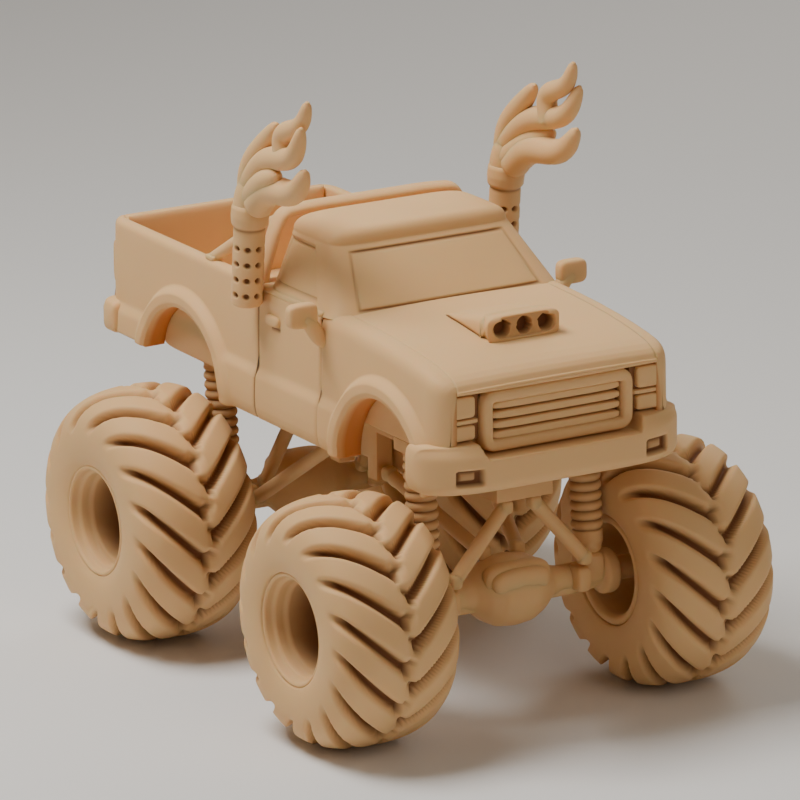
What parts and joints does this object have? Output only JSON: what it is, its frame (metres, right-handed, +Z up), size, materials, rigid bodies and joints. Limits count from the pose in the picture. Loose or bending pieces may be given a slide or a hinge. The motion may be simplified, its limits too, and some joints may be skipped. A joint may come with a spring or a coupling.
{
  "type": "monster truck display model",
  "caption": "Cast display model of a pickup monster truck: ladder frame, beam axles, coil springs and free-rolling balloon tyres.",
  "frame": {"origin": "on the ground under the middle of the truck's box", "axes": "+X forward, +Y to the truck's left, +Z up"},
  "size_m": [0.198, 0.1406, 0.1734],
  "materials": {
    "resin_body": "smooth cast resin, soft matt",
    "resin_pane": "smooth cast resin, soft matt",
    "resin_running_gear": "cast resin, matt",
    "resin_tyre": "cast resin, matt"
  },
  "bodies": {
    "truck": {"chassis_frame": "resin_running_gear", "transfer_case": "resin_running_gear", "engine_bay": "resin_body", "cab": "resin_body", "windscreen": "resin_pane", "rear_window": "resin_pane", "bonnet": "resin_body", "bonnet_scoop": "resin_body", "grille_surround": "resin_body", "grille_slats": "resin_body", "front_bumper": "resin_body", "rear_bumper": "resin_body", "bed": "resin_body", "tailgate": "resin_body", "tail_lamps": "resin_body", "roll_hoop": "resin_body", "front_axle": "resin_running_gear", "rear_axle": "resin_running_gear", "front_links": "resin_running_gear", "rear_links": "resin_running_gear", "door_right": "resin_body", "side_window_right": "resin_pane", "wing_right": "resin_body", "headlamp_right": "resin_body", "mirror_right": "resin_body", "stack_right": "resin_body", "flame_right": "resin_body", "coilover_front_right": "resin_running_gear", "coilover_rear_right": "resin_running_gear", "door_left": "resin_body", "side_window_left": "resin_pane", "wing_left": "resin_body", "headlamp_left": "resin_body", "mirror_left": "resin_body", "stack_left": "resin_body", "flame_left": "resin_body", "coilover_front_left": "resin_running_gear", "coilover_rear_left": "resin_running_gear"},
    "wheel_front_right": {"tyre_front_right": "resin_tyre", "rim_front_right": "resin_running_gear"},
    "wheel_front_left": {"tyre_front_left": "resin_tyre", "rim_front_left": "resin_running_gear"},
    "wheel_rear_right": {"tyre_rear_right": "resin_tyre", "rim_rear_right": "resin_running_gear"},
    "wheel_rear_left": {"tyre_rear_left": "resin_tyre", "rim_rear_left": "resin_running_gear"}
  },
  "joints": [
    {"name": "wheel_front_right_spin", "type": "hinge", "parent": "truck", "child": "wheel_front_right", "pos_m": [0.064, -0.05085, 0.035], "axis": [0, 1, 0], "continuous": true},
    {"name": "wheel_front_left_spin", "type": "hinge", "parent": "truck", "child": "wheel_front_left", "pos_m": [0.064, 0.05085, 0.035], "axis": [0, 1, 0], "continuous": true},
    {"name": "wheel_rear_right_spin", "type": "hinge", "parent": "truck", "child": "wheel_rear_right", "pos_m": [-0.049, -0.05085, 0.03675], "axis": [0, 1, 0], "continuous": true},
    {"name": "wheel_rear_left_spin", "type": "hinge", "parent": "truck", "child": "wheel_rear_left", "pos_m": [-0.049, 0.05085, 0.03675], "axis": [0, 1, 0], "continuous": true}
  ]
}
